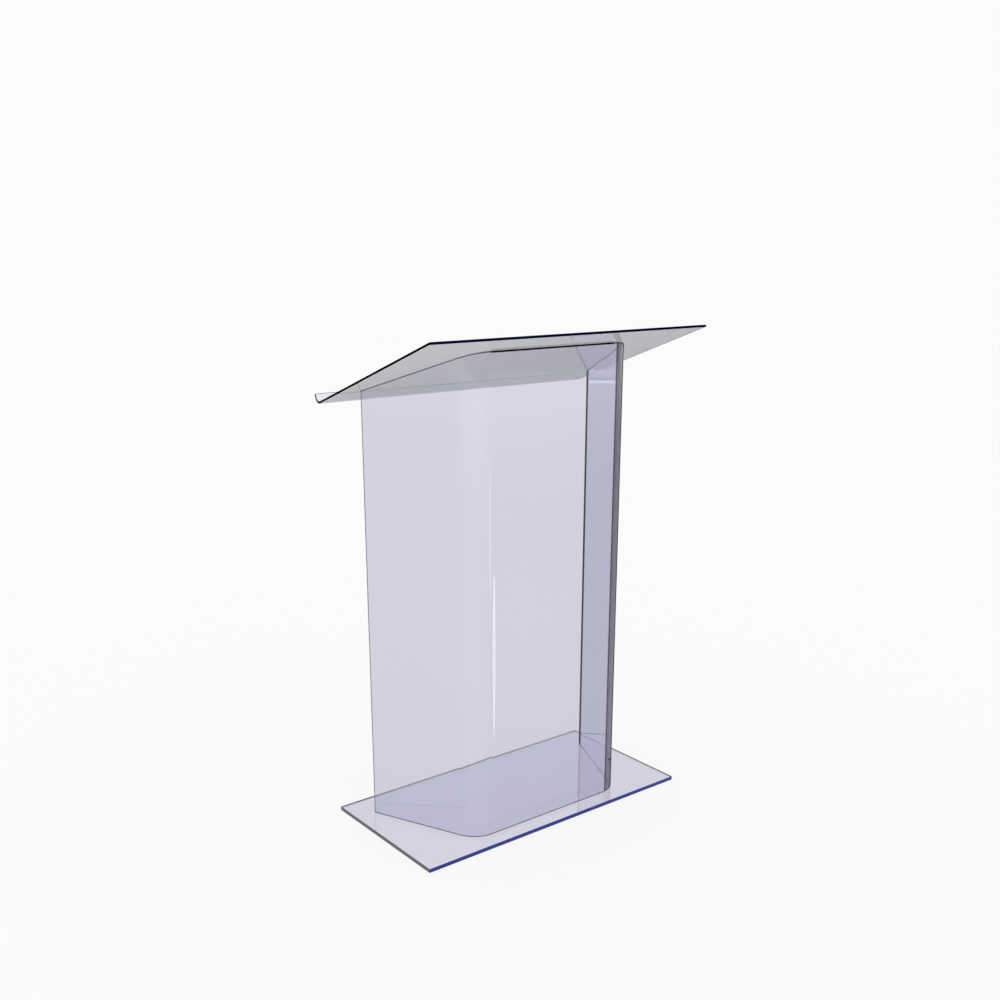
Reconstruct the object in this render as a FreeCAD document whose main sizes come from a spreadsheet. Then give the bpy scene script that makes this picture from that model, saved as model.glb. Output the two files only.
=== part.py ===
import FreeCAD, Part
import math
import os

import Sketcher
from FreeCAD import Vector

# Presentation lectern of clear acrylic sheet, in millimetres.
#
# A thick base plate carries a column bent from one thinner sheet: a flat front panel and two wings
# that sweep back and outwards, open at the rear where the speaker stands. The column's top is cut on
# a slope, and a reading shelf with an upturned lip lies on it. Two glue seams hold the three sheets.
#
# Frame: +Z up, the audience at -Y, the speaker at +Y. The origin is the middle of the base plate's
# underside, on the floor.

DRIVING_SIZES = (
    ("base_width", 800, "base plate, side to side"),
    ("base_depth", 400, "base plate, front to back"),
    ("base_thickness", 10, "base plate sheet"),
    ("sheet_thickness", 5, "column and shelf sheet"),
    ("bond_thickness", 0.5, "glue seam"),
    ("edge_chamfer", 0.5, "polished break on free edges"),
    ("front_setback", 44, "column front face, behind the base plate's front edge"),
    ("column_depth", 274, "column front face to the wings' outer rear corners"),
    ("rear_opening", 698, "across the wings' outer rear corners"),
    ("wing_angle", 23.5, "degrees between each wing and the front-to-back direction"),
    ("column_bend", 72, "outer radius of the column's bends"),
    ("overall_height", 1211, "floor to the shelf's high front edge"),
    ("shelf_overhang", 40, "shelf's front edge, ahead of the base plate's"),
    ("shelf_width", 805, "shelf, side to side"),
    ("shelf_length", 498, "shelf along its slope, front edge to the lip's outer face"),
    ("shelf_slope", 20, "degrees below level, towards the speaker"),
    ("lip_height", 26, "shelf's underside to the lip's free edge, square to the shelf"),
    ("lip_bend", 17, "outer radius of the bend below the lip"),
)
SIZE = {name: value for name, value, _ in DRIVING_SIZES}

# Expressions that several features share. Each is a length worked out from the driving sizes.
SLOPE = "Sizes.shelf_slope * 1 deg"
COLUMN_FRONT = "(Sizes.base_depth / 2 - Sizes.front_setback)"
COLUMN_FOOT = "(Sizes.base_thickness + Sizes.bond_thickness)"
UNDERSIDE_AT_FRONT = (
    "(Sizes.overall_height - (Sizes.front_setback + Sizes.shelf_overhang) * tan(" + SLOPE + ")"
    " - Sizes.sheet_thickness / cos(" + SLOPE + "))"
)
COLUMN_TOP_AT_FRONT = "(" + UNDERSIDE_AT_FRONT + " - Sizes.bond_thickness / cos(" + SLOPE + "))"

START, END = 1, 2  # a sketch line's or arc's own ends
ORIGIN, VERTICAL_AXIS = -1, -2  # the sketch's own origin point and vertical axis
JOIN_TOLERANCE = 1e-6
CUT_MARGIN = 200  # how far a slope's cutting outline runs past the column all round

doc = FreeCAD.newDocument("presentation_lectern")


def make_size_sheet():
    """Put every driving size in the spreadsheet, with its meaning beside it."""
    sheet = doc.addObject("Spreadsheet::Sheet", "Sizes")
    for row, (alias, value, meaning) in enumerate(DRIVING_SIZES, start=1):
        sheet.set(f"A{row}", meaning)
        sheet.set(f"B{row}", str(value))
        sheet.setAlias(f"B{row}", alias)
    doc.recompute()


def make_body(label):
    body = doc.addObject("PartDesign::Body", label)
    body.Label = label
    return body


def make_sketch(body, name, plane_role):
    """A sketch on one of the body's own origin planes."""
    sketch = body.newObject("Sketcher::SketchObject", name)
    plane = next(item for item in body.Origin.OriginFeatures if item.Role == plane_role)
    sketch.AttachmentSupport = (plane, [""])
    sketch.MapMode = "FlatFace"
    return sketch


def line(start, end):
    return Part.LineSegment(start, end)


def arc(centre, radius, first_degrees, last_degrees):
    """The arc about centre that runs anticlockwise between two directions."""
    circle = Part.Circle(centre, Vector(0, 0, 1), radius)
    return Part.ArcOfCircle(circle, math.radians(first_degrees), math.radians(last_degrees))


def meeting_ends(piece, following):
    """Which end of a piece touches which end of the one that follows it."""
    for end, point in ((END, piece.EndPoint), (START, piece.StartPoint)):
        for next_end, next_point in ((START, following.StartPoint), (END, following.EndPoint)):
            if point.distanceToPoint(next_point) < JOIN_TOLERANCE:
                return end, next_end
    raise RuntimeError("two pieces of an outline don't meet")


def draw_outline(sketch, pieces):
    """Add a closed outline, given as a dict in order round it, and return each piece's number.

    An arc joins its neighbours tangentially, and two lines meet at a corner.
    """
    numbers = {name: sketch.addGeometry(piece, False) for name, piece in pieces.items()}
    names = list(pieces)
    for name, following in zip(names, names[1:] + names[:1]):
        end, next_end = meeting_ends(pieces[name], pieces[following])
        smooth = isinstance(pieces[name], Part.ArcOfCircle) or isinstance(
            pieces[following], Part.ArcOfCircle
        )
        kind = "Tangent" if smooth else "Coincident"
        sketch.addConstraint(
            Sketcher.Constraint(kind, numbers[name], end, numbers[following], next_end)
        )
    return numbers


def drive(sketch, name, expression, *constraint):
    """Add a dimension and bind it to the spreadsheet."""
    number = sketch.addConstraint(Sketcher.Constraint(*constraint))
    sketch.renameConstraint(number, name)
    sketch.setExpression("Constraints." + name, expression)


def edges_where(feature, test):
    """The names of a feature's straight edges that pass a test of their two ends."""
    names = []
    for number, edge in enumerate(feature.Shape.Edges, start=1):
        if isinstance(edge.Curve, Part.Line):
            if test(edge.Vertexes[0].Point, edge.Vertexes[-1].Point):
                names.append(f"Edge{number}")
    return names


def chamfer(body, feature, name, edge_names):
    breaks = body.newObject("PartDesign::Chamfer", name)
    breaks.Base = (feature, edge_names)
    breaks.setExpression("Size", "Sizes.edge_chamfer")
    return breaks


def make_base_plate():
    """The flat plate on the floor, with every edge broken and polished."""
    body = make_body("base_plate")
    sketch = make_sketch(body, "base_outline", "XY_Plane")
    right, back = SIZE["base_width"] / 2, SIZE["base_depth"] / 2
    corners = [Vector(x, y) for x, y in ((-right, -back), (right, -back), (right, back), (-right, back))]
    sides = ("front", "right", "back", "left")
    outline = draw_outline(
        sketch,
        {side: line(corners[n], corners[(n + 1) % 4]) for n, side in enumerate(sides)},
    )
    for direction, side in (
        ("Horizontal", "front"), ("Vertical", "right"), ("Horizontal", "back"), ("Vertical", "left")
    ):
        sketch.addConstraint(Sketcher.Constraint(direction, outline[side]))
    sketch.addConstraint(
        Sketcher.Constraint("Symmetric", outline["front"], START, outline["back"], START, ORIGIN, START)
    )
    drive(sketch, "width", "Sizes.base_width", "Distance", outline["front"], 2 * right)
    drive(sketch, "depth", "Sizes.base_depth", "Distance", outline["right"], 2 * back)

    plate = body.newObject("PartDesign::Pad", "base_pad")
    plate.Profile = sketch
    plate.setExpression("Length", "Sizes.base_thickness")
    doc.recompute()
    chamfer(body, plate, "base_edge_breaks", edges_where(plate, lambda start, end: True))
    return body


def draw_column_section(sketch):
    """The column seen from above: flat front, two bends, two wings, one sheet thick."""
    thickness, bend = SIZE["sheet_thickness"], SIZE["column_bend"]
    wing_degrees = SIZE["wing_angle"]
    wing = math.radians(wing_degrees)
    front = SIZE["front_setback"] - SIZE["base_depth"] / 2
    half_opening, rear = SIZE["rear_opening"] / 2, front + SIZE["column_depth"]
    front_half_width = half_opening - SIZE["column_depth"] * math.tan(wing)
    bend_x = front_half_width - bend * math.tan(math.radians(45) - wing / 2)
    bend_y = front + bend

    def on_bend(side, radius, degrees):
        angle = math.radians(degrees)
        return Vector(side * (bend_x + radius * math.cos(angle)), bend_y + radius * math.sin(angle))

    def wing_and_bends(side):
        """One side's outer bend, outer wing, rear edge, inner wing and inner bend."""
        first, last = (-90, -wing_degrees) if side > 0 else (wing_degrees - 180, -90)
        centre = Vector(side * bend_x, bend_y)
        outer_rear = Vector(side * half_opening, rear)
        across_sheet = Vector(-side * math.cos(wing), math.sin(wing)) * thickness
        inner_rear = outer_rear + across_sheet
        return {
            "outer_bend": arc(centre, bend, first, last),
            "outer_wing": line(on_bend(side, bend, -wing_degrees), outer_rear),
            "rear_edge": line(outer_rear, inner_rear),
            "inner_wing": line(inner_rear, on_bend(side, bend - thickness, -wing_degrees)),
            "inner_bend": arc(centre, bend - thickness, first, last),
        }

    right = {"right_" + name: piece for name, piece in wing_and_bends(1).items()}
    left = {"left_" + name: piece for name, piece in reversed(wing_and_bends(-1).items())}
    outer_front = line(on_bend(-1, bend, -90), on_bend(1, bend, -90))
    inner_front = line(on_bend(1, bend - thickness, -90), on_bend(-1, bend - thickness, -90))
    outline = draw_outline(
        sketch, {"outer_front": outer_front, **right, "inner_front": inner_front, **left}
    )

    for flat in ("outer_front", "inner_front"):
        sketch.addConstraint(
            Sketcher.Constraint("Symmetric", outline[flat], START, outline[flat], END, VERTICAL_AXIS)
        )
    sketch.addConstraint(
        Sketcher.Constraint(
            "Symmetric", outline["right_outer_wing"], END, outline["left_outer_wing"], END, VERTICAL_AXIS
        )
    )
    sketch.addConstraint(
        Sketcher.Constraint("Parallel", outline["right_inner_wing"], outline["right_outer_wing"])
    )
    for side in ("right", "left"):
        rear_edge, outer_wing = outline[side + "_rear_edge"], outline[side + "_outer_wing"]
        sketch.addConstraint(Sketcher.Constraint("Perpendicular", rear_edge, outer_wing))
        drive(sketch, side + "_thickness", "Sizes.sheet_thickness", "Distance", rear_edge, thickness)
        drive(sketch, side + "_outer_radius", "Sizes.column_bend",
              "Radius", outline[side + "_outer_bend"], bend)
        drive(sketch, side + "_inner_radius", "Sizes.column_bend - Sizes.sheet_thickness",
              "Radius", outline[side + "_inner_bend"], bend - thickness)
    drive(sketch, "front_thickness", "Sizes.sheet_thickness",
          "DistanceY", outline["outer_front"], START, outline["inner_front"], END, thickness)
    drive(sketch, "front_place", COLUMN_FRONT,
          "DistanceY", outline["outer_front"], START, ORIGIN, START, -front)
    drive(sketch, "column_depth", "Sizes.column_depth",
          "DistanceY", outline["outer_front"], START, outline["right_outer_wing"], END, rear - front)
    drive(sketch, "half_opening", "Sizes.rear_opening / 2",
          "DistanceX", ORIGIN, START, outline["right_outer_wing"], END, half_opening)
    drive(sketch, "wing_direction", "90 deg - Sizes.wing_angle * 1 deg",
          "Angle", outline["right_outer_wing"], math.radians(90) - wing)


def draw_slope_cutter(sketch, height_at_front, side):
    """A four-sided outline that holds all above (side 1) or below (side -1) a line on the slope.

    The line is height_at_front high over the column's front face.
    """
    slope = math.radians(SIZE["shelf_slope"])
    front = SIZE["front_setback"] - SIZE["base_depth"] / 2
    near, far = front - CUT_MARGIN, front + SIZE["column_depth"] + CUT_MARGIN
    height = (
        SIZE["overall_height"]
        - (SIZE["front_setback"] + SIZE["shelf_overhang"]) * math.tan(slope)
        - SIZE["sheet_thickness"] / math.cos(slope)
    )
    slope_start = Vector(near, height + CUT_MARGIN * math.tan(slope))
    slope_end = Vector(far, slope_start.y - (far - near) * math.tan(slope))
    reach = SIZE["overall_height"] + CUT_MARGIN if side > 0 else -CUT_MARGIN
    outline = draw_outline(
        sketch,
        {
            "slope": line(slope_start, slope_end),
            "far": line(slope_end, Vector(far, reach)),
            "level": line(Vector(far, reach), Vector(near, reach)),
            "near": line(Vector(near, reach), slope_start),
        },
    )
    sketch.addConstraint(Sketcher.Constraint("Vertical", outline["far"]))
    sketch.addConstraint(Sketcher.Constraint("Horizontal", outline["level"]))
    sketch.addConstraint(Sketcher.Constraint("Vertical", outline["near"]))
    margin = str(CUT_MARGIN)
    drive(sketch, "near_place", COLUMN_FRONT + " + " + margin,
          "DistanceX", outline["slope"], START, ORIGIN, START, -near)
    drive(sketch, "run", "Sizes.column_depth + 2 * " + margin,
          "DistanceX", outline["slope"], START, outline["slope"], END, far - near)
    drive(sketch, "fall", f"(Sizes.column_depth + 2 * {margin}) * tan({SLOPE})",
          "DistanceY", outline["slope"], END, outline["slope"], START, slope_start.y - slope_end.y)
    drive(sketch, "height", f"{height_at_front} + {margin} * tan({SLOPE})",
          "DistanceY", ORIGIN, START, outline["slope"], START, slope_start.y)
    if side > 0:
        drive(sketch, "reach", "Sizes.overall_height + " + margin,
              "DistanceY", ORIGIN, START, outline["level"], START, reach)
    else:
        drive(sketch, "reach", margin,
              "DistanceY", outline["level"], START, ORIGIN, START, -reach)


def cut_on_slope(body, name, height_at_front, side):
    """Cut away all of a body above (side 1) or below (side -1) a plane parallel to the shelf."""
    sketch = make_sketch(body, name + "_outline", "YZ_Plane")
    draw_slope_cutter(sketch, height_at_front, side)
    doc.recompute()
    volume_before = body.Shape.Volume
    pocket = body.newObject("PartDesign::Pocket", name)
    pocket.Profile = sketch
    pocket.Type = "ThroughAll"
    pocket.SideType = "Symmetric"
    doc.recompute()
    if not 0 < body.Shape.Volume < volume_before - 1:
        raise RuntimeError(name + " cut nothing")
    return pocket


def pad_column_section(body, name, height_expression):
    sketch = make_sketch(body, name + "_section", "XY_Plane")
    draw_column_section(sketch)
    pad = body.newObject("PartDesign::Pad", name + "_pad")
    pad.Profile = sketch
    pad.setExpression("Length", height_expression)
    doc.recompute()
    return pad


def make_column_panel():
    """The bent column. Its foot stands square on the seam, and its top follows the shelf."""
    body = make_body("column_panel")
    body.setExpression("Placement.Base.z", COLUMN_FOOT)
    pad_column_section(body, "column", "Sizes.overall_height")
    top = f"({COLUMN_TOP_AT_FRONT} - {COLUMN_FOOT})"
    sloped = cut_on_slope(body, "column_top_cut", top, side=1)
    rear = SIZE["front_setback"] - SIZE["base_depth"] / 2 + SIZE["column_depth"]

    def is_rear_edge(start, end):
        upright = abs(start.x - end.x) < JOIN_TOLERANCE and abs(start.y - end.y) < JOIN_TOLERANCE
        return upright and start.y > rear - JOIN_TOLERANCE

    chamfer(body, sloped, "rear_edge_breaks", edges_where(sloped, is_rear_edge))
    return body


def make_foot_bond():
    """The glue seam under the column's foot."""
    body = make_body("foot_bond")
    body.setExpression("Placement.Base.z", "Sizes.base_thickness")
    pad_column_section(body, "foot_bond", "Sizes.bond_thickness")
    return body


def make_shelf_bond():
    """The glue seam between the column's sloping top and the shelf."""
    body = make_body("shelf_bond")
    pad_column_section(body, "shelf_bond", "Sizes.overall_height")
    cut_on_slope(body, "shelf_bond_top_cut", UNDERSIDE_AT_FRONT, side=1)
    cut_on_slope(body, "shelf_bond_bottom_cut", COLUMN_TOP_AT_FRONT, side=-1)
    return body


def make_reading_shelf():
    """The sloping shelf, drawn from the side, with its lip bent up square to it."""
    thickness, bend = SIZE["sheet_thickness"], SIZE["lip_bend"]
    length, lip_height = SIZE["shelf_length"], SIZE["lip_height"]
    slope_degrees = SIZE["shelf_slope"]
    slope = math.radians(slope_degrees)
    front_corner = Vector(-SIZE["base_depth"] / 2 - SIZE["shelf_overhang"], SIZE["overall_height"])
    down_slope = Vector(math.cos(slope), -math.sin(slope))
    off_top = Vector(math.sin(slope), math.cos(slope))

    def at(along, above_underside):
        """A point so far down the slope and so far above the shelf's underside."""
        return front_corner + down_slope * along + off_top * (above_underside - thickness)

    bend_centre = at(length - bend, bend)
    first, last = -90 - slope_degrees, -slope_degrees
    body = make_body("reading_shelf")
    sketch = make_sketch(body, "shelf_side_profile", "YZ_Plane")
    outline = draw_outline(
        sketch,
        {
            "underside": line(at(0, 0), at(length - bend, 0)),
            "outer_bend": arc(bend_centre, bend, first, last),
            "lip_outer": line(at(length, bend), at(length, lip_height)),
            "lip_end": line(at(length, lip_height), at(length - thickness, lip_height)),
            "lip_inner": line(at(length - thickness, lip_height), at(length - thickness, bend)),
            "inner_bend": arc(bend_centre, bend - thickness, first, last),
            "top": line(at(length - bend, thickness), at(0, thickness)),
            "front_edge": line(at(0, thickness), at(0, 0)),
        },
    )
    for piece, reference in (
        ("front_edge", "underside"), ("lip_outer", "underside"), ("lip_end", "lip_outer")
    ):
        sketch.addConstraint(
            Sketcher.Constraint("Perpendicular", outline[piece], outline[reference])
        )
    for piece, reference in (("top", "underside"), ("lip_inner", "lip_outer")):
        sketch.addConstraint(Sketcher.Constraint("Parallel", outline[piece], outline[reference]))
    drive(sketch, "front_place", "Sizes.base_depth / 2 + Sizes.shelf_overhang",
          "DistanceX", outline["top"], END, ORIGIN, START, -front_corner.x)
    drive(sketch, "front_height", "Sizes.overall_height",
          "DistanceY", ORIGIN, START, outline["top"], END, front_corner.y)
    drive(sketch, "slope", "-" + SLOPE, "Angle", outline["underside"], -slope)
    drive(sketch, "sheet", "Sizes.sheet_thickness", "Distance", outline["front_edge"], thickness)
    drive(sketch, "lip_sheet", "Sizes.sheet_thickness", "Distance", outline["lip_end"], thickness)
    drive(sketch, "outer_radius", "Sizes.lip_bend", "Radius", outline["outer_bend"], bend)
    drive(sketch, "inner_radius", "Sizes.lip_bend - Sizes.sheet_thickness",
          "Radius", outline["inner_bend"], bend - thickness)
    drive(sketch, "length", "Sizes.shelf_length",
          "Distance", outline["front_edge"], END, outline["lip_outer"], length)
    drive(sketch, "lip_height", "Sizes.lip_height",
          "Distance", outline["lip_outer"], END, outline["underside"], lip_height)

    shelf = body.newObject("PartDesign::Pad", "shelf_pad")
    shelf.Profile = sketch
    shelf.SideType = "Symmetric"
    shelf.setExpression("Length", "Sizes.shelf_width")
    doc.recompute()

    def is_long_edge(start, end):
        return abs(start.x - end.x) > SIZE["shelf_width"] / 2

    ends = [at(0, 0), at(0, thickness), at(length, lip_height), at(length - thickness, lip_height)]

    def is_sheet_end(start, end):
        """True for the four edges along the shelf's front and the lip's free end."""
        place = Vector(start.y, start.z)
        return is_long_edge(start, end) and min(place.distanceToPoint(p) for p in ends) < JOIN_TOLERANCE

    chamfer(body, shelf, "shelf_edge_breaks", edges_where(shelf, is_sheet_end))
    return body


def check_document():
    """Stop if anything in the document failed to build."""
    for item in doc.Objects:
        if "Invalid" in item.State or "Error" in item.State:
            raise RuntimeError(f"{item.Label} is {item.State}")
        if item.TypeId == "Sketcher::SketchObject" and not item.FullyConstrained:
            raise RuntimeError(item.Label + " isn't fully constrained")


def export(bodies):
    os.makedirs("parts", exist_ok=True)
    for body in bodies:
        shape = body.Shape
        if shape.isNull() or not shape.isValid() or len(shape.Solids) != 1:
            raise RuntimeError(body.Label + " isn't one valid solid")
        shape.exportStep(f"parts/{body.Label}.step")
        print(f"{body.Label}: {shape.Volume / 1000:.1f} cm3, {shape.BoundBox}")


make_size_sheet()
sub_parts = [
    make_base_plate(),
    make_foot_bond(),
    make_column_panel(),
    make_shelf_bond(),
    make_reading_shelf(),
]
doc.recompute()
check_document()
export(sub_parts)
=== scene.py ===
import math

import bmesh
import bpy
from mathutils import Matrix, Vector


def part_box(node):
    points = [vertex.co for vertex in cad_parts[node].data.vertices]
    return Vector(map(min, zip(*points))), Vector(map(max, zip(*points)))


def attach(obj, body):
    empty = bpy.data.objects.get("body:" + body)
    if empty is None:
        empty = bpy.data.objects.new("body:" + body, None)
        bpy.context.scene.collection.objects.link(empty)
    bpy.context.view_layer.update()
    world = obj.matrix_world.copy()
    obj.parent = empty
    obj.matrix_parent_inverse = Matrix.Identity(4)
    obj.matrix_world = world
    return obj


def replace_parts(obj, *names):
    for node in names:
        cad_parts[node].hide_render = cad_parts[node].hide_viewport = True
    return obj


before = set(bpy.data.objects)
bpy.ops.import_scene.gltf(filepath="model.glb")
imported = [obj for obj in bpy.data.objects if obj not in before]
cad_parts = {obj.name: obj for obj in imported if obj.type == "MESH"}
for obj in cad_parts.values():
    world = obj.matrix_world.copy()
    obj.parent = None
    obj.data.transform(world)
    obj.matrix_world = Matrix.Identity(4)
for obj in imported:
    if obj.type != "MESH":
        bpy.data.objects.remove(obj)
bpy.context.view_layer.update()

# Clear acrylic presentation lectern: three sheets and two glue seams, seen on a plain pale floor.
# Lengths are metres and angles degrees. +Z is up, the audience is at -Y and the speaker at +Y. Places
# come from the frame's boxes; what a box can't say, such as a bend's radius, is named here.

SHEET = 0.005  # column and shelf sheet
WING_ANGLE = 23.5  # between each wing and the front-to-back direction
COLUMN_BEND = 0.072  # outer radius of the column's bends
SHELF_SLOPE = 20.0
SHELF_LENGTH = 0.498  # along the slope, from the front edge to the lip's outer face
LIP_BEND = 0.017  # outer radius of the bend below the lip
LIP_HEIGHT = 0.026  # from the shelf's underside to the lip's free edge
EDGE_BREAK = 0.0005  # the polished break along every free edge

ARC_STEP = 1.5  # degrees turned by each facet of a bend
LEAD = 0.003  # short flat facets beside a bend, which keep the long flats' shading flat
# The stretch of the column's bends that is painted darker edge-on, a painted shade band. A facet's
# place round a bend is the angle between its normal and straight sideways, so the flat front begins
# at 90.
BAND_START = 84.0
BAND_END = 45.0
CREASE = 4.5  # degrees of the darkest painted shade line, next to BAND_START
COLUMN_RIM = 0.016  # width of the strip beside the column's rear edges that is painted black edge-on, a painted shade
SHELF_RIM = 0.004  # and beside the shelf's front edge
SHADE_BEAD_HEIGHT = 0.0040  # a black strip shaped as cement squeezed out under the shelf, along the column's flat front: painted shade
SHADE_BEAD_DEPTH = 0.0008
SEAM_CLEARANCE = 0.00005  # between a seam and the sheets, so that no two faces lie in one plane

# Painted shade and highlight: colours of cut edges, and of polished faces that take a tone of their
# own edge-on, standing in for light and shade. The two opaque ones reflect and pass next to nothing.
SHADE_BLACK = (0.002, 0.002, 0.006)
SHADE_NAVY = (0.003, 0.004, 0.05)
SHADE_DARK = (0.04, 0.04, 0.05)
# painted shade band and crease on the column's bends
SHADE_BAND = (0.115, 0.115, 0.115)
CREASE_SHADE = (0.012, 0.012, 0.014)
# painted sheen on the shelf's lip and its bend
PAINTED_SHEEN_PALE = (0.85, 0.85, 0.85)
# painted shade on edges, and the foot seam's own dark joint line
SHADE_AND_JOINT_GREY = (0.12, 0.12, 0.13)
SHADE_BLUE = (0.005, 0.03, 0.31)
# painted glint along the foot seam's inner face
GLINT_WHITE = (0.9, 0.9, 0.92)
OPAQUE_SHADES = (SHADE_BLACK, SHADE_NAVY)

slope = math.radians(SHELF_SLOPE)
wing = math.radians(WING_ANGLE)


# ---------------------------------------------------------------- meshes

# The parts of a sheet that can differ in finish and in painted light and shade. "near" and "far" are
# the cut edges at the two ends that place() tells apart, "first" and "last" those at the two ends of
# the path.
ROLES = ("outer", "inner", "near", "far", "first", "last", "break")
POLISHED = ("outer", "inner")


def arc(centre, radius, first, last):
    """Points along an arc between two directions, in degrees."""
    steps = round(abs(last - first) / ARC_STEP)
    for step in range(steps + 1):
        angle = math.radians(first + (last - first) * step / steps)
        yield centre + radius * Vector((math.cos(angle), math.sin(angle)))


def with_leads(bend):
    """A bend's points with one more on the flat at each end."""
    bend = list(bend)
    before = bend[0] - (bend[1] - bend[0]).normalized() * LEAD
    after = bend[-1] + (bend[-1] - bend[-2]).normalized() * LEAD
    return [before, *bend, after]


def add_to_scene(name, data):
    item = bpy.data.objects.new(name, data)
    bpy.context.scene.collection.objects.link(item)
    return item


def new_piece(name, bm, material):
    mesh = bpy.data.meshes.new(name)
    bm.to_mesh(mesh)
    bm.free()
    mesh.materials.append(material)
    return add_to_scene(name, mesh)


def sheet(name, path, place, material, tones, depths=(0, SHEET), polished=POLISHED):
    """One sheet of acrylic, straight or bent.

    path(depth) gives the points along the sheet's outline at a depth below its outer face, and
    place(point, end) puts such a point at either end of the sheet's width. The roles that aren't
    polished are cut edges. tones gives the painted colour of a role's faces, or a function that gives
    it from a face's centre: for a cut edge, and for a polished face that takes it on edge-on to the
    eye.
    These colours are painted shade and painted highlight. A sheet has one material, because light
    that enters and leaves by two different ones would carry the sheet's tint on with it, so the mesh
    itself says which of its faces have which finish and which painted light and shade.
    """
    bm = bmesh.new()
    outer, inner = (path(depth) for depth in depths)
    stations = [
        [[bm.verts.new(place(point, end)) for end in (0, 1)] for point in pair]
        for pair in zip(outer, inner)
    ]

    def add(role, *corners):
        bm.faces.new(corners).material_index = ROLES.index(role)

    for here, there in zip(stations, stations[1:]):
        for side, role in enumerate(("outer", "inner")):
            add(role, here[side][0], there[side][0], there[side][1], here[side][1])
        for end, role in enumerate(("near", "far")):
            add(role, here[0][end], here[1][end], there[1][end], there[0][end])
    for station, role in ((stations[0], "first"), (stations[-1], "last")):
        add(role, station[0][0], station[0][1], station[1][1], station[1][0])
    bmesh.ops.recalc_face_normals(bm, faces=bm.faces)
    if polished:
        corners = []
        for edge in bm.edges:
            roles = {ROLES[face.material_index] for face in edge.link_faces}
            if len(roles) > 1 and not roles <= set(polished):
                corners.append(edge)
        bmesh.ops.bevel(
            bm, geom=corners, offset=EDGE_BREAK, segments=2, profile=0.5, affect="EDGES",
            material=ROLES.index("break"),
        )
    for face in bm.faces:
        face.smooth = True
    for edge in bm.edges:
        edge.smooth = len({face.material_index for face in edge.link_faces}) == 1

    faces = [(ROLES[face.material_index], face.calc_center_median()) for face in bm.faces]
    for face in bm.faces:
        face.material_index = 0
    piece = new_piece(name, bm, material)
    attributes = piece.data.attributes
    cut = attributes.new("cut", "FLOAT", "FACE")
    # These face attributes carry painted light and shade: which polished faces take a painted tone
    # edge-on, which faces are painted opaque black, and the painted shade, sheen and glint colour.
    bent = attributes.new("bent", "FLOAT", "FACE")
    black = attributes.new("black", "FLOAT", "FACE")
    colour = attributes.new("painted_light_and_shade", "FLOAT_COLOR", "FACE")
    for number, (role, centre) in enumerate(faces):
        tone = tones.get(role, None if role in polished else tones["other"])
        if callable(tone):
            tone = tone(centre)
        cut.data[number].value = role not in polished
        bent.data[number].value = role in polished and tone is not None
        black.data[number].value = tone in OPAQUE_SHADES
        # Faces with nothing painted keep white here, which their shader doesn't show.
        colour.data[number].color = (*(tone or GLINT_WHITE), 1)
    return piece


# ---------------------------------------------------------------- materials


def new_material(name):
    material = bpy.data.materials.new(name)
    material.use_nodes = True
    tree = material.node_tree
    return material, tree.nodes, tree.links, tree.nodes["Principled BSDF"]


def noise(nodes, links, scale, stretch=(1, 1, 1), detail=3.0):
    """A noise texture on the object's own coordinates, which are metres."""
    where = nodes.new("ShaderNodeTexCoord")
    mapping = nodes.new("ShaderNodeMapping")
    mapping.inputs["Scale"].default_value = stretch
    texture = nodes.new("ShaderNodeTexNoise")
    texture.inputs["Scale"].default_value = scale
    texture.inputs["Detail"].default_value = detail
    links.new(where.outputs["Object"], mapping.inputs["Vector"])
    links.new(mapping.outputs["Vector"], texture.inputs["Vector"])
    return texture.outputs["Fac"]


def ramp(nodes, links, value, stops):
    """A colour ramp on a value: stops are pairs of a position and a colour or a grey."""
    node = nodes.new("ShaderNodeValToRGB")
    elements = node.color_ramp.elements
    while len(elements) > 1:
        elements.remove(elements[-1])
    for number, (position, colour) in enumerate(stops):
        element = elements[0] if number == 0 else elements.new(position)
        element.position = position
        rgb = colour if isinstance(colour, tuple) else (colour, colour, colour)
        element.color = (*rgb, 1)
    links.new(value, node.inputs["Fac"])
    return node.outputs["Color"]


DARKEST_TINT = 0.1  # of an absorption node, whose density works on what its colour lacks


def absorb(nodes, links, per_metre):
    """Darken light along its way through the sheet, by so much a metre in red, green and blue."""
    density = max(per_metre) / (1 - DARKEST_TINT)
    absorption = nodes.new("ShaderNodeVolumeAbsorption")
    absorption.inputs["Density"].default_value = density
    absorption.inputs["Color"].default_value = (*(1 - each / density for each in per_metre), 1)
    links.new(absorption.outputs["Volume"], nodes["Material Output"].inputs["Volume"])


def bump(nodes, links, shader, height, distance):
    """Bumps as high as distance, in metres."""
    node = nodes.new("ShaderNodeBump")
    node.inputs["Distance"].default_value = distance
    links.new(height, node.inputs["Height"])
    links.new(node.outputs["Normal"], shader.inputs["Normal"])


def attribute(nodes, name, output="Fac"):
    node = nodes.new("ShaderNodeAttribute")
    node.attribute_name = name
    return node.outputs[output]


def mix(nodes, links, factor, first, second, blend="MIX"):
    """Two colours, or greys, mixed."""
    node = nodes.new("ShaderNodeMixRGB")
    node.blend_type = blend
    for value, socket in ((factor, "Fac"), (first, "Color1"), (second, "Color2")):
        if isinstance(value, bpy.types.NodeSocket):
            links.new(value, node.inputs[socket])
        elif socket == "Fac":
            node.inputs[socket].default_value = value
        else:
            node.inputs[socket].default_value = (value, value, value, 1)
    return node.outputs["Color"]


ACRYLIC_IOR = 1.49
# How far a face has turned away, from 0 face-on to 1 edge-on, when its painted tone begins and is
# whole.
BEND_TURNS = (0.30, 0.355)
RIM_TURNS = (0.63, 0.67)
OUTLINE_TURNS = (0.72, 0.79)  # where a bend or a rim is painted opaque black
RIPPLE_DEPTH = 0.00004


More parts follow.
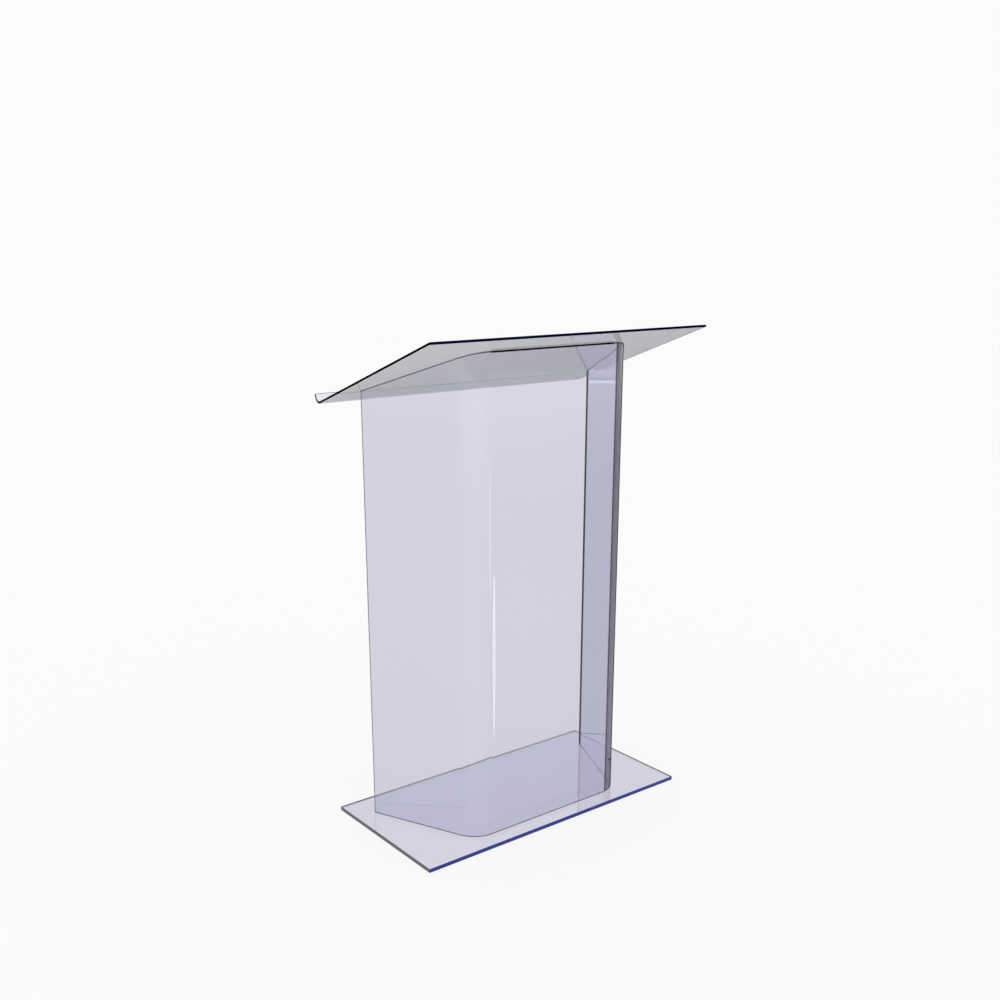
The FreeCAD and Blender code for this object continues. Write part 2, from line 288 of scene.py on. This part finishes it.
def acrylic(name, per_metre, edge_clear=0.3, bend_tone=((0.0, 1.0),)):
    """Clear acrylic sheet: polished faces with faint wipe marks, and sawn, flame-polished edges. Cut
    edges, bends and rims also carry painted shade and painted highlight.

    edge_clear is how much light passes a cut edge, and bend_tone has stops of a height in metres and
    how much of its painted shade a bend has there.
    """
    material, nodes, links, shader = new_material(name)
    shader.inputs["IOR"].default_value = ACRYLIC_IOR
    cut = attribute(nodes, "cut")
    bent = attribute(nodes, "bent")
    black = attribute(nodes, "black")
    weight = nodes.new("ShaderNodeLayerWeight")
    weight.inputs["Blend"].default_value = 0.5

    def turned_away(start, end):
        return ramp(nodes, links, weight.outputs["Facing"], [(start, 0.0), (end, 1.0)])

    # Painted shade and sheen by viewing angle: a bend keeps its clear look face-on and takes its own
    # painted tone as it turns edge-on, and a rim later.
    edge_on = mix(nodes, links, black, turned_away(*BEND_TURNS), turned_away(*RIM_TURNS))
    toned = mix(nodes, links, bent, cut, edge_on)
    # Painted black: faces marked opaque, and bends and rims far edge-on, turn metallic with no
    # specular tint.
    outline = mix(nodes, links, bent, 0.0, turned_away(*OUTLINE_TURNS))
    opaque = mix(nodes, links, outline, mix(nodes, links, toned, 0.0, black), 1.0)
    links.new(opaque, shader.inputs["Metallic"])
    links.new(mix(nodes, links, opaque, 1.0, 0.0), shader.inputs["Specular Tint"])

    smudges = noise(nodes, links, 2.5, detail=4.0)
    tint = ramp(nodes, links, smudges, [(0.3, 1.0), (0.7, 0.985)])
    marks = noise(nodes, links, 60.0, detail=4.0)
    # The painted shade, sheen and glint colour, streaked by the saw marks, and on bends scaled by
    # height.
    painted_and_marked = mix(
        nodes, links, 1.0, attribute(nodes, "painted_light_and_shade", "Color"),
        ramp(nodes, links, marks, [(0.3, 0.7), (0.7, 1.0)]), blend="MULTIPLY",
    )
    height = nodes.new("ShaderNodeSeparateXYZ")
    links.new(nodes.new("ShaderNodeTexCoord").outputs["Object"], height.inputs["Vector"])
    by_height = mix(nodes, links, bent, 1.0, ramp(nodes, links, height.outputs["Z"], bend_tone))
    painted_and_marked = mix(nodes, links, 1.0, painted_and_marked, by_height, blend="MULTIPLY")
    links.new(mix(nodes, links, toned, tint, painted_and_marked), shader.inputs["Base Color"])

    wipes = noise(nodes, links, 6.0, stretch=(1, 1, 0.25), detail=6.0)
    haze = ramp(nodes, links, wipes, [(0.45, 0.0), (0.75, 0.05)])
    sawn = ramp(nodes, links, marks, [(0.3, 0.12), (0.7, 0.3)])
    links.new(mix(nodes, links, cut, haze, sawn), shader.inputs["Roughness"])

    clear = ramp(nodes, links, cut, [(0.0, 1.0), (1.0, edge_clear)])
    links.new(clear, shader.inputs["Transmission Weight"])

    ripple = noise(nodes, links, 9.0, detail=1.0)
    bump(nodes, links, shader, mix(nodes, links, cut, ripple, marks), RIPPLE_DEPTH)
    absorb(nodes, links, per_metre)
    return material


# How much each acrylic absorbs a metre, in red, green and blue.
COLUMN_ABSORBS = (68.0, 72.0, 46.0)
SHELF_ABSORBS = (29.0, 31.0, 21.0)
BASE_ABSORBS = (26.0, 28.0, 17.0)
CEMENT_ABSORBS = (60.0, 60.0, 50.0)
# How strongly the bends' painted shade band shows at each height.
COLUMN_BEND_TONE = ((0.25, 1.4), (0.6, 0.95), (1.0, 0.70))  # darker towards the top
BASE_EDGE_CLEAR = 0.1

column_acrylic = acrylic("column_acrylic", COLUMN_ABSORBS, bend_tone=COLUMN_BEND_TONE)
shelf_acrylic = acrylic("shelf_acrylic", SHELF_ABSORBS)
base_acrylic = acrylic("base_acrylic", BASE_ABSORBS, edge_clear=BASE_EDGE_CLEAR)
cement = acrylic("acrylic_cement", CEMENT_ABSORBS)

# ---------------------------------------------------------------- the three sheets

base_low, base_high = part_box("base_plate")
column_low, column_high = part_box("column_panel")
shelf_low, shelf_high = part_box("reading_shelf")
_, foot_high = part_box("foot_bond")
_, top_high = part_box("shelf_bond")

column_front = column_low.y
half_opening = foot_high.x
rear_outer = foot_high.y - SHEET * math.sin(wing)
front_half_width = half_opening - (rear_outer - column_front) * math.tan(wing)
bend_x = front_half_width - COLUMN_BEND * math.tan(math.radians(45) - wing / 2)
bend_centre = Vector((bend_x, column_front + COLUMN_BEND))


def column_path(depth):
    """The column from above, right rear to left rear, at a depth below its outer face."""
    rear = Vector((half_opening, rear_outer)) + depth * Vector((-math.cos(wing), math.sin(wing)))
    bend = with_leads(arc(bend_centre, COLUMN_BEND - depth, -WING_ANGLE, -90))
    rim = rear - COLUMN_RIM * Vector((math.sin(wing), math.cos(wing)))
    right = [rear, rim, *bend]
    return right + [Vector((-point.x, point.y)) for point in reversed(right)]


def below_shelf(point, height_at_front):
    """A height on the slope, given what it is at the column's front face."""
    return height_at_front - (point.y - column_front) * math.tan(slope)


def column_place(point, end):
    return (point.x, point.y, below_shelf(point, column_high.z) if end else column_low.z)


def rim_painted_shade(centre):
    """The strip beside each rear edge is painted black edge-on, a painted shade."""
    return SHADE_BLACK if centre.y > rear_outer - COLUMN_RIM * math.cos(wing) else None


def column_painted_shade(centre):
    """Where the column's outer face is painted darker edge-on, a painted shade: the two rims, and
    most of each bend.
    """
    if rim_painted_shade(centre):
        return SHADE_BLACK
    turned = math.degrees(math.atan2(bend_centre.y - centre.y, abs(centre.x) - bend_x))
    if abs(centre.x) < bend_x or not BAND_END < turned < BAND_START:
        return None
    return CREASE_SHADE if turned > BAND_START - CREASE else SHADE_BAND


def top_edge_painted_shade(centre):
    """The front panel's top edge is painted black, and the wings' grey: painted shade."""
    return SHADE_BLACK if centre.y < column_front + SHEET else SHADE_AND_JOINT_GREY


# Painted shade on the column: its bends, rims and top edge as above, and dark on its other cut edges.
column = sheet(
    "column_sheet", column_path, column_place, column_acrylic,
    {"outer": column_painted_shade, "inner": rim_painted_shade, "far": top_edge_painted_shade, "other": SHADE_DARK},
)
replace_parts(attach(column, "root"), "column_panel")

down_slope = Vector((math.cos(slope), -math.sin(slope)))
off_shelf = Vector((math.sin(slope), math.cos(slope)))
# The box stops at the edge break, a little below and behind the sharp corners it was cut from.
front_underside = Vector((
    shelf_low.y - EDGE_BREAK * math.sin(slope),
    shelf_high.z + EDGE_BREAK * math.sin(slope) - SHEET * math.cos(slope),
))


def shelf_at(along, above):
    """A side view point so far down the slope and above the underside."""
    return front_underside + down_slope * along + off_shelf * above


def shelf_path(depth):
    """The shelf from the side, front edge to the lip's free edge, at a depth above its underside."""
    centre = shelf_at(SHELF_LENGTH - LIP_BEND, LIP_BEND)
    bend = with_leads(arc(centre, LIP_BEND - depth, -90 - SHELF_SLOPE, -SHELF_SLOPE))
    lip_end = shelf_at(SHELF_LENGTH - depth, LIP_HEIGHT)
    return [shelf_at(0, depth), shelf_at(SHELF_RIM, depth), *bend, lip_end]


def shelf_place(point, end):
    return (shelf_high.x if end else shelf_low.x, *point)


def shelf_painted_shade_and_sheen(centre):
    """Edge-on, the strip by the shelf's front edge is painted black, a painted shade, and the lip and
    its bend are painted pale, a painted sheen.
    """
    if centre.y < shelf_low.y + SHELF_RIM * math.cos(slope):
        return SHADE_BLACK
    lip_begins = shelf_at(SHELF_LENGTH - LIP_BEND, 0).x
    return PAINTED_SHEEN_PALE if centre.y > lip_begins else None


# The shelf's cut edges are painted shade: navy along the front edge, black on the others.
shelf = sheet(
    "shelf_sheet", shelf_path, shelf_place, shelf_acrylic,
    {"outer": shelf_painted_shade_and_sheen, "first": SHADE_NAVY, "other": SHADE_BLACK},
)
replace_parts(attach(shelf, "root"), "reading_shelf")


def base_path(depth):
    """The base plate from the front, left to right, at a depth below its top."""
    return [Vector((x, base_high.z - depth)) for x in (base_low.x, base_high.x)]


def base_place(point, end):
    return (point.x, base_high.y if end else base_low.y, point.y)


# The base's cut edges are painted shade: blue along the near edge, grey on the left, dark on the
# others.
base = sheet(
    "base_sheet", base_path, base_place, base_acrylic, {"near": SHADE_BLUE, "first": SHADE_AND_JOINT_GREY, "other": SHADE_DARK},
    depths=(0, base_high.z - base_low.z),
)
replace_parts(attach(base, "root"), "base_plate")

# ---------------------------------------------------------------- the two glue seams


def foot_seam_place(point, end):
    height = column_low.z - SEAM_CLEARANCE if end else base_high.z + SEAM_CLEARANCE
    return (point.x, point.y, height)


def shelf_seam_place(point, end):
    height = top_high.z - SEAM_CLEARANCE if end else column_high.z + SEAM_CLEARANCE
    return (point.x, point.y, below_shelf(point, height))


# The foot seam's inner face is painted white, a painted glint, and its other faces grey, the joint's
# dark line. The shelf seam is painted shade like the column's top edge.
for name, place, node, colours in (
    ("foot_seam", foot_seam_place, "foot_bond", {"inner": GLINT_WHITE, "other": SHADE_AND_JOINT_GREY}),
    ("shelf_seam", shelf_seam_place, "shelf_bond", {"other": top_edge_painted_shade}),
):
    seam = sheet(
        name, column_path, place, cement, colours,
        depths=(SEAM_CLEARANCE, SHEET - SEAM_CLEARANCE), polished=(),
    )
    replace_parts(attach(seam, "root"), node)


def shade_bead_path(depth):
    """The flat front of the column, left to right, at a depth ahead of its face."""
    return [Vector((x, column_front - depth)) for x in (-bend_x, bend_x)]


def shade_bead_place(point, end):
    top = below_shelf(Vector((0, column_front - SHADE_BEAD_DEPTH)), top_high.z)
    return (point.x, point.y, top - SEAM_CLEARANCE if end else top - SHADE_BEAD_HEIGHT)


# An opaque black strip under the shelf's front edge: painted shade.
shade_bead = sheet(
    "shelf_seam_shade_bead", shade_bead_path, shade_bead_place, cement, {"other": SHADE_BLACK},
    depths=(SEAM_CLEARANCE, SHADE_BEAD_DEPTH), polished=(),
)
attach(shade_bead, "root")

# ---------------------------------------------------------------- floor, light and camera

FLOOR_HALF_SIZE = 60
FLOOR_DROP = 0.0003  # keeps the floor clear of the base plate's underside
BACKDROP = 0.966  # brightness of the plain studio behind and below the object
FLOOR_SHADE = 0.12  # share of the floor's brightness that a shadow can take away
# The lit sweep is what shows through the sheets. What they mirror is the darker room around it.
ONCE_MIRRORED = (0.79, 0.78, 0.82)
FLOOR_BEHIND_ONE = (0.82, 0.91, 0.71)  # mirrored, and seen through a sheet too
WORLD_BEHIND_ONE = (1.38, 1.56, 1.36)
MIRRORED_BEHIND_TWO = (2.2, 2.3, 2.2)
TWICE_MIRRORED = 0.3
# Cards on the floor, which only the sheets mirror. Each has its centre, its half-size, and stops from
# its rim (0) to its middle (1) of how bright the floor is there.
CARDS = (
    # Dark, behind on the right.
    ((1.85, 1.7, 0), (1.65, 0.9, 1), [(0.15, 1.0), (0.35, 0.40)]),
    # A bright line far behind, and a paler patch beyond it.
    ((0.95, 9.14, 0), (1.6, 0.18, 1), [(0.2, 1.0), (0.35, 2.1)]),
    ((1.0, 9.8, 0), (2.4, 0.55, 1), [(0.05, 1.0), (0.15, 1.5)]),
    # A ring that brightens the floor far out in front and to the sides.
    ((0, 4, 0), (14, 14, 1), [(0.0, 1.0), (0.03, 1.8), (0.16, 1.8), (0.47, 1.0)]),
)


def studio_brightness(nodes, links, level, behind_one):
    """The sweep's brightness, or the room's for light that a surface has mirrored."""
    path = nodes.new("ShaderNodeLightPath")

    def share(output, whole):
        """A path depth as a share of a whole number of steps."""
        node = nodes.new("ShaderNodeMath")
        node.operation = "MULTIPLY"
        node.inputs[1].default_value = 1 / whole
        links.new(path.outputs[output], node.inputs[0])
        return node.outputs[0]

    # Light takes two steps through each sheet, so two sheets are four.
    once = ramp(
        nodes, links, share("Transmission Depth", 4),
        [
            (sheets / 2, tuple(level * each for each in colour))
            for sheets, colour in enumerate((ONCE_MIRRORED, behind_one, MIRRORED_BEHIND_TWO))
        ],
    )
    first = mix(nodes, links, path.outputs["Glossy Depth"], level, once)
    twice = ramp(nodes, links, share("Glossy Depth", 2), [(0.5, 0.0), (1.0, 1.0)])
    return mix(nodes, links, twice, first, level * TWICE_MIRRORED)


def card_brightness(nodes, links, centre, half_size, stops):
    """How much brighter or darker a card makes the floor for light that a surface has mirrored."""
    where = nodes.new("ShaderNodeTexCoord")
    from_card = nodes.new("ShaderNodeMapping")
    from_card.vector_type = "TEXTURE"
    from_card.inputs["Location"].default_value = centre
    from_card.inputs["Scale"].default_value = half_size
    nearness = nodes.new("ShaderNodeTexGradient")
    nearness.gradient_type = "SPHERICAL"
    links.new(where.outputs["Object"], from_card.inputs["Vector"])
    links.new(from_card.outputs["Vector"], nearness.inputs["Vector"])
    mirrored = nodes.new("ShaderNodeLightPath").outputs["Glossy Depth"]
    return mix(nodes, links, mirrored, 1.0, ramp(nodes, links, nearness.outputs["Fac"], stops))


bm = bmesh.new()
bmesh.ops.create_grid(bm, x_segments=1, y_segments=1, size=FLOOR_HALF_SIZE)
floor_material, nodes, links, shader = new_material("pale_floor")
shader.inputs["Base Color"].default_value = (FLOOR_SHADE, FLOOR_SHADE, FLOOR_SHADE, 1)
shader.inputs["Roughness"].default_value = 1
shader.inputs["Specular IOR Level"].default_value = 0
shader.inputs["Emission Strength"].default_value = 1
lit = studio_brightness(nodes, links, BACKDROP * (1 - FLOOR_SHADE), FLOOR_BEHIND_ONE)
for card in CARDS:
    lit = mix(nodes, links, 1.0, lit, card_brightness(nodes, links, *card), blend="MULTIPLY")
links.new(lit, shader.inputs["Emission Color"])
floor = new_piece("floor", bm, floor_material)
floor.location.z = -FLOOR_DROP

world = bpy.data.worlds.new("studio")
bpy.context.scene.world = world
world.use_nodes = True
nodes, links = world.node_tree.nodes, world.node_tree.links
lit = studio_brightness(nodes, links, BACKDROP, WORLD_BEHIND_ONE)
links.new(lit, nodes["Background"].inputs["Color"])

# Two tall soft lights in front, which the left bend and the flat beside it mirror as thin bright
# lines: a faint broad one high up and a bright narrow one below. Each has its middle, width, height
# and radiance.
STRIP_LIGHTS = {
    "upper_strip_light": ((0.105, -0.645, 0.64), 0.10, 0.38, 0.19),
    "lower_strip_light": ((0.192, -0.645, 0.25), 0.008, 0.48, 0.46),
}
STRIP_SPREAD = 60
STRIP_TILT = 0.19  # how far above its own middle each is aimed, where it meets the bend

for name, (middle, width, height, radiance) in STRIP_LIGHTS.items():
    strip_data = bpy.data.lights.new(name, "AREA")
    strip_data.shape = "ELLIPSE"
    strip_data.size = width
    strip_data.size_y = height
    area = math.pi / 4 * width * height
    strip_data.energy = radiance * math.pi * area
    strip_data.spread = math.radians(STRIP_SPREAD)
    strip = add_to_scene(name, strip_data)
    strip.location = middle
    # The tilt and the spread keep it out of what the base plate mirrors from behind.
    towards_bend = Vector((-bend_x, column_front, strip.location.z + STRIP_TILT)) - strip.location
    strip.rotation_euler = towards_bend.to_track_quat("-Z", "Y").to_euler()
    strip.visible_camera = False
    strip.visible_diffuse = False
    strip.visible_transmission = False

LENS, SENSOR_WIDTH = 42.288, 36  # millimetres
LENS_SHIFT = 0.0969
CAMERA_PLACE = (-1.7613, -2.2056, 1.4098)
CAMERA_LOOKS_DOWN = 17.003
CAMERA_LOOKS_RIGHT = 38.024  # of straight towards the speaker

camera_data = bpy.data.cameras.new("camera")
camera_data.sensor_width = SENSOR_WIDTH
camera_data.lens = LENS
camera_data.shift_y = LENS_SHIFT
camera = add_to_scene("camera", camera_data)
camera.location = CAMERA_PLACE
camera.rotation_euler = (
    math.radians(90 - CAMERA_LOOKS_DOWN), 0, math.radians(-CAMERA_LOOKS_RIGHT)
)

scene = bpy.context.scene
scene.camera = camera
scene.view_settings.view_transform = "Standard"
scene.cycles.use_denoising = True
scene.cycles.max_bounces = 24  # enough for light to cross every sheet and come back
scene.cycles.transmission_bounces = 24
scene.cycles.glossy_bounces = 16
